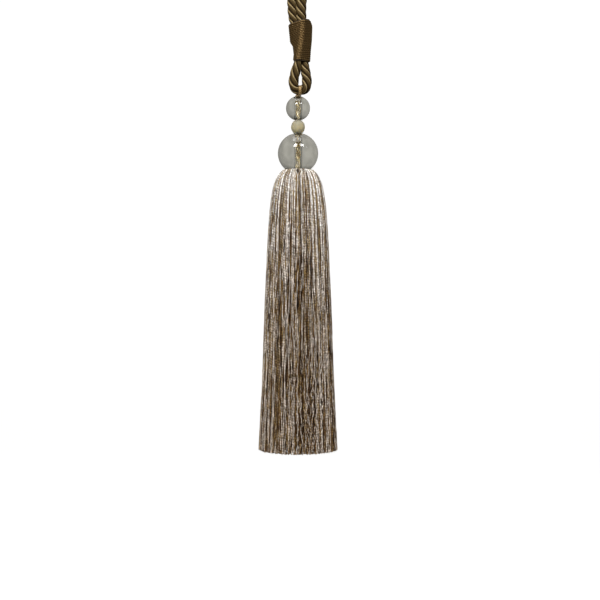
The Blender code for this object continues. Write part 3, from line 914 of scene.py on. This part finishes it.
def make_sleeve(material):
    """A plain sleeve under the winding, which closes its inside."""
    shares = np.linspace(SLEEVE_MARGIN, 1.0 - SLEEVE_MARGIN, SLEEVE_ROWS)
    rows = [(share, SLEEVE_OUTSIDE) for share in shares]
    rows += [(share, SLEEVE_INSIDE) for share in (shares[-1], shares[0])]
    loops = []
    for share, offset in rows:
        level = COLLAR_TOP + (COLLAR_BOTTOM - COLLAR_TOP) * share
        tilt = wrap_tilt(share)
        loops.append([collar_point(level, tilt, angle, offset) for angle in facings(SLEEVE_SIDES)])
    mesh = closed_mesh("collar_sleeve", np.array(loops), 40)
    add_piece("collar_sleeve", mesh, material)


# Gold cord

def cord_run(side):
    """One run of the doubled cord, from the eye down to the knot."""
    rows = [(x + across * side, y * side, z) for x, across, y, z in CORD_LOOP]
    reach = CORD_DIAMETER / 2 * CORD_PAIR_OFFSET
    start = math.pi / 2 * (1 + side)
    for z in np.arange(CORD_JOIN, CORD_END, -CORD_PAIR_STEP):
        angle = start + TURN * (CORD_JOIN - z) / CORD_PAIR_LAY
        rows.append((reach * math.cos(angle), reach * math.sin(angle), z))
    return rows


def make_gold_cord(material):
    """Both runs of the cord as one tube, up to the eye and down again."""
    back = cord_run(1)
    front = cord_run(-1)
    route, travelled = smooth_rows(back[:0:-1] + front, CORD_STEP)
    normals, sides = frames_along(route, np.array([1.0, 0.0, 0.0]))
    turn = TURN * travelled / CORD_STRAND_LAY
    lobes = np.abs(np.cos(CORD_STRANDS / 2 * (facings(CORD_SIDES) - turn[:, None])))
    reach = CORD_DIAMETER / 2 * (CORD_CORE + CORD_RIDGE * np.sqrt(lobes))
    mesh = tubes_mesh("gold_cord", rings_round(route, normals, sides, reach)[None], travelled[None, :])
    add_piece("gold_cord", mesh, material, ["hanging_cord"])


def make_knot(material):
    """A wrapped knot that holds the cord under the skirt's head."""
    profile = []
    for row in range(KNOT_ROWS + 1):
        angle = KNOT_POLE + (math.pi - 2 * KNOT_POLE) * row / KNOT_ROWS
        radius = KNOT_RADIUS * (1.0 + KNOT_RIDGE * math.cos(KNOT_WRAPS * angle)) * math.sin(angle)
        profile.append((radius, KNOT_HEIGHT + KNOT_HALF_HEIGHT * math.cos(angle)))
    add_piece("cord_knot", lathe_mesh("cord_knot", profile, KNOT_SIDES), material)


# Balls and bead

def drilled_half_height(radius):
    """Half the height of a round ball that is cut off flat at its hole's mouths."""
    return math.sqrt(radius ** 2 - MOUTH_RADIUS ** 2)


def drilled_profile(middle, radius, half_height):
    """A ball cut off flat at its drilled ends, with rounded flares into the bore."""
    arc = half_height / math.sqrt(1.0 - (MOUTH_RADIUS / radius) ** 2)
    mouth_angle = math.asin(MOUTH_RADIUS / radius)
    profile = []
    for row in range(BALL_ROWS + 1):
        angle = mouth_angle + (math.pi - 2 * mouth_angle) * row / BALL_ROWS
        profile.append((radius * math.sin(angle), middle + arc * math.cos(angle)))
    flare = MOUTH_RADIUS - BORE_RADIUS
    lip = []
    for row in range(1, FLARE_ROWS + 1):
        angle = math.pi / 2 * row / FLARE_ROWS
        inside = BORE_RADIUS + flare * (1 - math.sin(angle))
        lip.append((inside, half_height - flare * (1 - math.cos(angle))))
    profile += [(inside, middle - height) for inside, height in lip]
    profile += [(inside, middle + height) for inside, height in reversed(lip)]
    return profile


def make_stack(glass, cream):
    """The small ball, the bead and the large ball on the cord."""
    small = (SMALL_BALL_HEIGHT, SMALL_BALL_RADIUS, drilled_half_height(SMALL_BALL_RADIUS))
    bead = (BEAD_HEIGHT, BEAD_RADIUS, BEAD_HALF_HEIGHT)
    large = (LARGE_BALL_HEIGHT, LARGE_BALL_RADIUS, drilled_half_height(LARGE_BALL_RADIUS))
    rows = [
        ("ball_small", "small_glass_ball", small, glass, "glass"),
        ("bead_cream", "cream_bead", bead, cream, "bead"),
        ("ball_large", "large_glass_ball", large, glass, "glass"),
    ]
    for name, node, shape, material, slot in rows:
        mesh = lathe_mesh(name, drilled_profile(*shape), BALL_SIDES)
        add_piece(name, mesh, material, [node])


# Skirt

def wander(stray, count, at, waves):
    """Sums of sine waves along each yarn, with wavelengths, phases and sizes drawn for each."""
    total = np.zeros((count, len(at)))
    for shortest, longest, reach in waves:
        wavelength = stray.uniform(shortest, longest, count)[:, None]
        phase = stray.uniform(0, TURN, count)[:, None]
        size = stray.uniform(0.25, 1.0, count)[:, None]
        # Each wave grows and fades along the yarn, more slowly than it turns
        swell = 0.6 + 0.4 * np.sin(TURN * at / (3.7 * wavelength) + 2.3 * phase)
        total += reach * size * swell * np.sin(TURN * at / wavelength + phase)
    return total


def yarn_angles(stray, count, z, radius, loose, layer_turn):
    """Each yarn's angle round the axis at each height: nearly even, swaying, and curled low down."""
    place = np.arange(count) + stray.uniform(-YARN_SPACING_STRAY, YARN_SPACING_STRAY, count)
    angle = (TURN / count * place + layer_turn)[:, None]
    sway = wander(stray, count, z, SIDEWAYS_WAVES)
    angle = angle + sway * loose / np.maximum(radius, SWAY_LEAST_RADIUS)
    start, length = CURLS_RIGHT
    edge, spread = CURLS_RIGHT_SPREAD
    curled = ease((np.cos(angle - CURLS_RIGHT_BEARING) - edge) / spread) * ease((start - z) / length)
    start, length, share = CURLS_ALL_ROUND
    curled = share * loose * ease((start - z) / length) + curled
    curls = wander(stray, count, z, CURL_WAVES)
    return angle + curled * curls / np.maximum(radius, CURL_LEAST_RADIUS)


def part_at_holes(angle, z, radius):
    """Moves the yarns to either side of each hole in front."""
    for x, height, half_width in SKIRT_HOLES:
        beside = (angle + math.pi / 2 + math.pi) % TURN - math.pi - x / HOLES_RADIUS
        above = (z - height) / (HOLE_HEIGHT * half_width)
        near = np.exp(-above ** 2 - (beside * HOLES_RADIUS / (HOLE_REACH * half_width)) ** 2)
        angle = angle + np.sign(beside) * near * half_width / np.maximum(radius, HOLE_LEAST_RADIUS)
    return angle


def make_skirt(material):
    """Layers of twisted yarn that come out from under the ball, arch over and hang to the cut edge."""
    outline = [(radius, 0.0, z) for radius, z in SKIRT_OUTLINE]
    for name, count, depth_top, depth_cut, step, seed in SKIRT_LAYERS:
        stray = np.random.default_rng(seed)
        curve, travelled = smooth_rows(outline, step)
        radius, z = curve[:, 0], curve[:, 2]
        hang = np.clip((SKIRT_SHOULDER - z) / (SKIRT_SHOULDER - SKIRT_CUT), 0.0, 1.0)
        loose = ease(hang * LOOSE_GROWTH)
        # Each block of neighbours has every tone once, in an order drawn for it
        blocks = count // len(YARN_TONES) + 1
        tone = np.concatenate([stray.permutation(YARN_TONES) for _ in range(blocks)])[:count]
        past_root = np.clip(travelled / YARN_ROOT_LENGTH, 0.0, 1.0)
        grown = YARN_ROOT_SHARE + (1.0 - YARN_ROOT_SHARE) * past_root
        yarn_radius = stray.uniform(*YARN_RADII, count)[:, None] * grown
        depth = depth_top + (depth_cut - depth_top) * np.clip(hang * DEPTH_GROWTH, 0.0, 1.0)
        freedom = TIED_SWING + (1.0 - TIED_SWING) * loose
        swing = np.abs(wander(stray, count, z, INWARD_WAVES)) * freedom
        depth = depth + yarn_radius + YARN_BEDDING + swing
        along_radius = np.maximum(radius + np.gradient(z, travelled) * depth, 1.0)
        along_z = z - np.gradient(radius, travelled) * depth
        angle = yarn_angles(stray, count, z, along_radius, loose, seed * LAYER_TURN)
        angle = part_at_holes(angle, z, along_radius)
        path = np.stack([along_radius * np.cos(angle), along_radius * np.sin(angle), along_z], axis=-1)
        outward = np.stack([np.cos(angle), np.sin(angle), np.full_like(angle, YARN_LEAN)], axis=-1)
        normals, sides = frames_along(path, outward)
        swell = 1.0 + SWELLING * wander(stray, count, z, SWELLING_WAVES)
        reach = np.repeat((yarn_radius * swell)[..., None], YARN_SIDES, axis=-1)
        rings = rings_round(path, normals, sides, reach)
        cut = SKIRT_CUT + stray.uniform(0.0, CUT_STRAY, count)[:, None, None]
        rings[..., 2] = np.maximum(rings[..., 2], cut)
        tone = np.clip(tone + stray.uniform(-TONE_STRAY, TONE_STRAY, count), 0.0, 1.1)
        lengths = travelled + stray.uniform(0, YARN_PATTERN_STRAY, count)[:, None]
        mesh = tubes_mesh(name, rings, lengths, tone)
        replaced = ["tassel_skirt"] if name == SKIRT_LAYERS[0][0] else []
        add_piece(name, mesh, material, replaced)


def make_head(material):
    """The bound heading under the yarns: a dished dome, lower than the yarns all over."""
    profile = [(BORE_RADIUS, HEAD_BORE_BOTTOM)]
    for radius in np.linspace(BORE_RADIUS, HEAD_DISH_RADIUS, 10):
        depth = math.sqrt((LARGE_BALL_RADIUS + HEAD_CLEARANCE) ** 2 - radius ** 2)
        profile.append((radius, LARGE_BALL_HEIGHT - depth))
    profile += HEAD_OUTLINE
    mesh = lathe_mesh("skirt_head", profile[::-1], HEAD_SIDES)
    add_piece("skirt_head", mesh, material)


# Stage, light and camera

def make_stage():
    """A pale floor that curves up behind, seen by the camera alone."""
    material = bpy.data.materials.new("stage_white")
    material.use_nodes = True
    shader = material.node_tree.nodes["Principled BSDF"]
    shader.inputs["Base Color"].default_value = (0.9, 0.9, 0.9, 1.0)
    shader.inputs["Roughness"].default_value = 0.9
    shader.inputs["Emission Color"].default_value = (1.0, 1.0, 1.0, 1.0)
    shader.inputs["Emission Strength"].default_value = 0.8
    outline = [(-STAGE_REACH, STAGE_LEVEL), (STAGE_BACK, STAGE_LEVEL)]
    for row in range(1, STAGE_ROWS + 1):
        angle = math.pi / 2 * row / STAGE_ROWS
        rise = STAGE_CURVE * (1 - math.cos(angle))
        outline.append((STAGE_BACK + STAGE_CURVE * math.sin(angle), STAGE_LEVEL + rise))
    outline.append((STAGE_BACK + STAGE_CURVE, STAGE_LEVEL + STAGE_HEIGHT))
    vertices = [(side * STAGE_REACH, y, z) for y, z in outline for side in (-1, 1)]
    faces = [(2 * row, 2 * row + 1, 2 * row + 3, 2 * row + 2) for row in range(len(outline) - 1)]
    mesh = bpy.data.meshes.new("stage_sweep")
    mesh.from_pydata(vertices, [], faces)
    shade_smooth(mesh)
    mesh.materials.append(material)
    stage = bpy.data.objects.new("stage_sweep", mesh)
    bpy.context.collection.objects.link(stage)
    stage.visible_diffuse = False
    stage.visible_glossy = False
    stage.visible_transmission = False
    stage.visible_shadow = False


def make_world():
    """White to the camera; to everything else a grey room, dark overhead and dimmer at two sides."""
    world = bpy.data.worlds.new("studio")
    bpy.context.scene.world = world
    world.use_nodes = True
    world.node_tree.nodes.clear()
    nodes = Nodes(world.node_tree)
    direction = nodes.add("ShaderNodeTexCoord").outputs["Generated"]
    _, _, up = nodes.split(direction)
    colour = nodes.ramp(nodes.map_range(up, -1.0, 1.0, 0.0, 1.0), ROOM_COLOURS)
    # Soft patches, so that what mirrors the room isn't flat
    strength = nodes.map_range(nodes.noise(direction, 3.0, 1.0), 0.3, 0.7, 0.84, 1.14)
    for side, start, end, brightness in ROOM_SIDES:
        toward = nodes.add("ShaderNodeVectorMath", operation="DOT_PRODUCT")
        toward.inputs[1].default_value = side
        nodes.feed(toward.inputs[0], direction)
        dimmed = nodes.map_range(toward.outputs["Value"], start, end, 1.0, brightness)
        strength = nodes.math("MULTIPLY", strength, dimmed)
    room = nodes.add("ShaderNodeBackground")
    nodes.feed(room.inputs["Color"], colour)
    nodes.feed(room.inputs["Strength"], strength)
    white = nodes.add("ShaderNodeBackground")
    nodes.feed(white.inputs["Color"], (1.0, 1.0, 1.0))
    to_camera = nodes.add("ShaderNodeLightPath").outputs["Is Camera Ray"]
    mix = nodes.add("ShaderNodeMixShader")
    for socket, value in zip(mix.inputs, (to_camera, room.outputs[0], white.outputs[0])):
        nodes.feed(socket, value)
    nodes.feed(nodes.add("ShaderNodeOutputWorld").inputs["Surface"], mix.outputs[0])


def make_lights():
    """Soft lights in front, set by the bearing and height at which the glass balls mirror them."""
    for name, bearing, rise, distance, size, power in LIGHTS:
        bearing, rise = math.radians(bearing), math.radians(rise)
        direction = Vector((
            math.sin(bearing) * math.cos(rise),
            -math.cos(bearing) * math.cos(rise),
            math.sin(rise),
        ))
        light = bpy.data.lights.new(name, "AREA")
        light.shape = "DISK"
        light.size = size
        light.energy = power
        lamp = bpy.data.objects.new(name, light)
        bpy.context.collection.objects.link(lamp)
        lamp.location = Vector(LIGHTS_AIM) + direction * distance
        lamp.rotation_euler = (-direction).to_track_quat("-Z", "Y").to_euler()


def make_camera():
    """A level camera in front, with the photograph's frame and perspective."""
    data = bpy.data.cameras.new("camera")
    camera = bpy.data.objects.new("camera", data)
    bpy.context.collection.objects.link(camera)
    centre = FRAME_PIXELS / 2
    x = (centre - AXIS_COLUMN) * MM_PER_PIXEL * MM
    z = -(centre - HANGING_ROW) * MM_PER_PIXEL * MM
    camera.location = (x, -CAMERA_DISTANCE * MM, z)
    camera.rotation_euler = (math.pi / 2, 0.0, 0.0)
    data.sensor_width = SENSOR_WIDTH
    data.lens = SENSOR_WIDTH * CAMERA_DISTANCE / (FRAME_PIXELS * MM_PER_PIXEL)
    data.clip_start, data.clip_end = 0.01, 50.0
    bpy.context.scene.camera = camera


def main():
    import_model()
    bpy.context.scene.view_settings.view_transform = "Standard"
    make_camera()
    make_rope(rope_material())
    make_winding(collar_material())
    make_sleeve(lining_material())
    gold = gold_material()
    make_gold_cord(gold)
    make_knot(gold)
    make_stack(glass_material(), bead_material())
    make_skirt(skirt_material())
    make_head(lining_material())
    make_stage()
    make_world()
    make_lights()


main()
